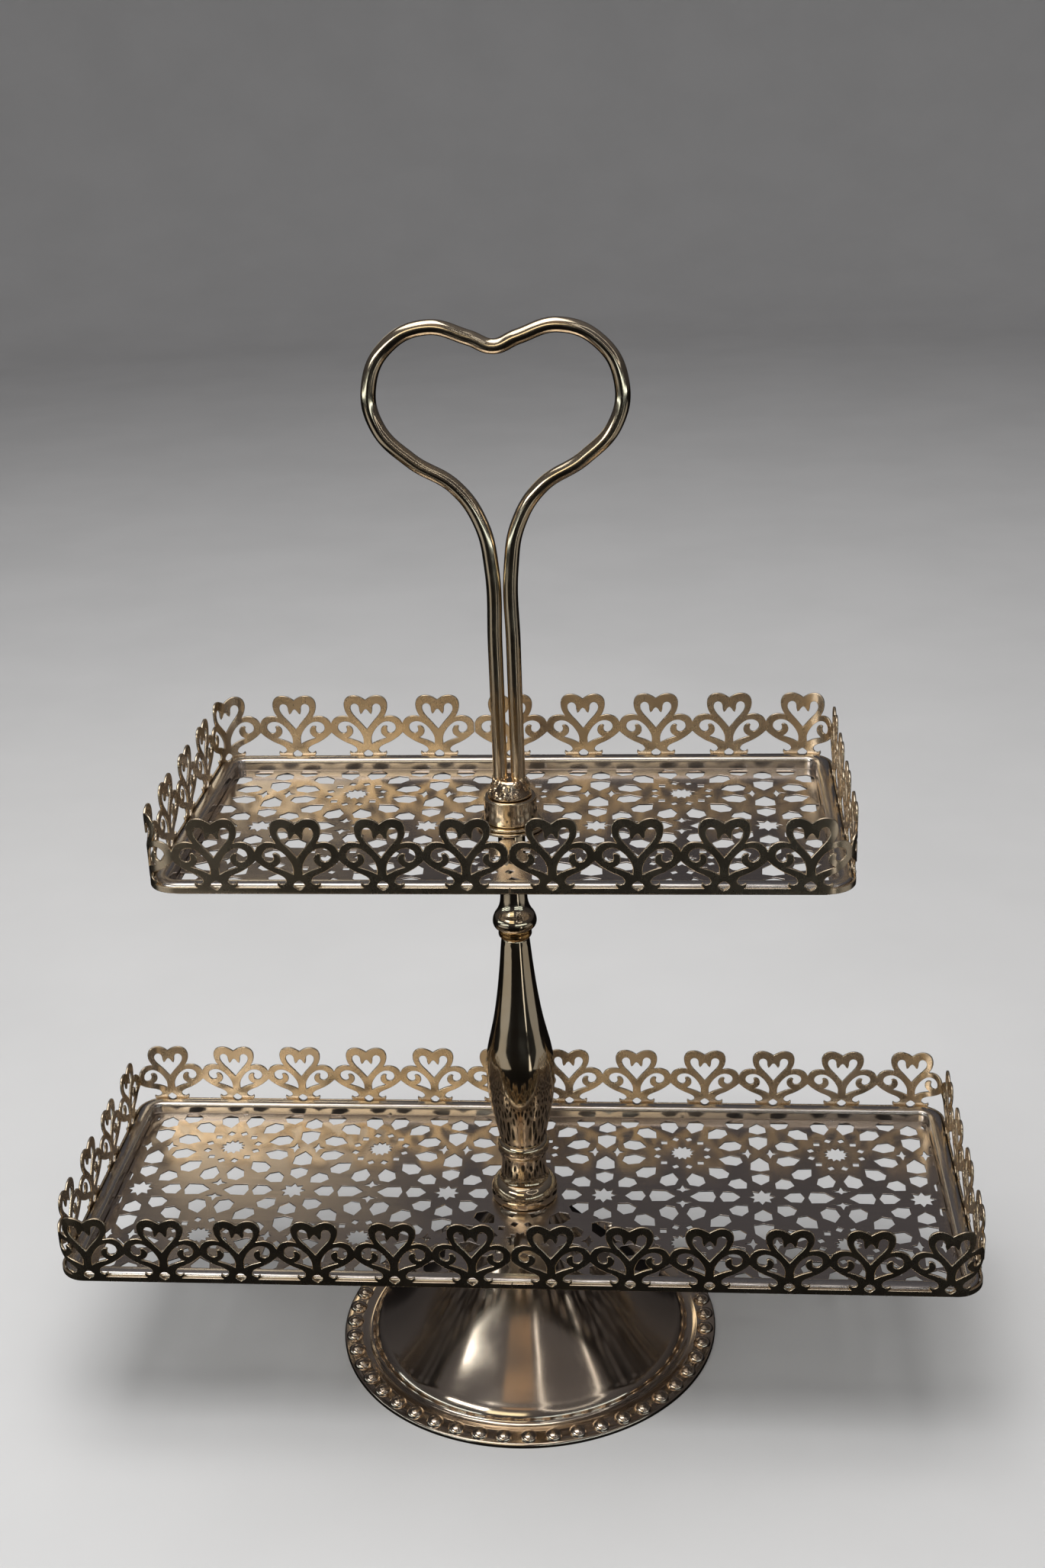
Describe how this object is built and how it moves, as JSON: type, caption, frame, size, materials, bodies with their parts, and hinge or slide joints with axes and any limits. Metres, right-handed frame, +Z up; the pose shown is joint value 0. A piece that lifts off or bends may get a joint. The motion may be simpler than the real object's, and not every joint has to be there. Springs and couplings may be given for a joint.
{
  "type": "tiered cake stand",
  "caption": "Tiered cake stand: pierced rectangular trays with heart galleries on a turned column, round spun base, bent-rod heart handle that screws on to a central rod.",
  "frame": {"origin": "centre of the base's underside, on the surface it stands on", "axes": "+Z up along the central rod, +X along the trays, +Y across the trays to the back"},
  "size_m": [0.39, 0.172, 0.4594],
  "materials": {
    "polished_gold_plate": "polished light-gold plate",
    "satin_gold_plate": "fine brushed light-gold plate",
    "zinc_plated_steel": "zinc plate"
  },
  "bodies": {
    "base": {"pedestal_base": "polished_gold_plate", "base_washer": "zinc_plated_steel", "base_nut": "zinc_plated_steel", "tie_rod": "zinc_plated_steel"},
    "lower_tray": {"lower_tray_floor": "satin_gold_plate", "lower_tray_frame": "polished_gold_plate", "lower_gallery_right": "polished_gold_plate", "lower_gallery_left": "polished_gold_plate"},
    "column": {"column_foot": "polished_gold_plate", "column_vase": "polished_gold_plate", "column_ring": "polished_gold_plate", "column_collar": "polished_gold_plate"},
    "upper_tray": {"upper_tray_floor": "satin_gold_plate", "upper_tray_frame": "polished_gold_plate", "upper_gallery_right": "polished_gold_plate", "upper_gallery_left": "polished_gold_plate", "seat_washer": "polished_gold_plate"},
    "top_washer": {"handle_washer": "polished_gold_plate"},
    "handle": {"handle_ferrule": "polished_gold_plate", "handle_braze": "polished_gold_plate", "handle_loop": "polished_gold_plate"}
  },
  "joints": [
    {"name": "lower_tray_swivel", "type": "hinge", "parent": "base", "child": "lower_tray", "pos_m": [0, 0, 0.0697], "axis": [0, 0, 1], "continuous": true},
    {"name": "column_spin", "type": "hinge", "parent": "base", "child": "column", "pos_m": [0, 0, 0.14], "axis": [0, 0, 1], "continuous": true},
    {"name": "upper_tray_swivel", "type": "hinge", "parent": "base", "child": "upper_tray", "pos_m": [0, 0, 0.2508], "axis": [0, 0, 1], "continuous": true},
    {"name": "handle_rise", "type": "slide", "parent": "base", "child": "top_washer", "axis": [0, 0, 1], "range_m": [0, 0.007]},
    {"name": "handle_unscrew", "type": "hinge", "parent": "top_washer", "child": "handle", "pos_m": [0, 0, 0.2543], "axis": [0, 0, 1], "range_deg": [0, 2524]}
  ],
  "couplings": [
    {"joint": "handle_unscrew", "follows": "handle_rise", "rad_per_m": 6283.2}
  ]
}
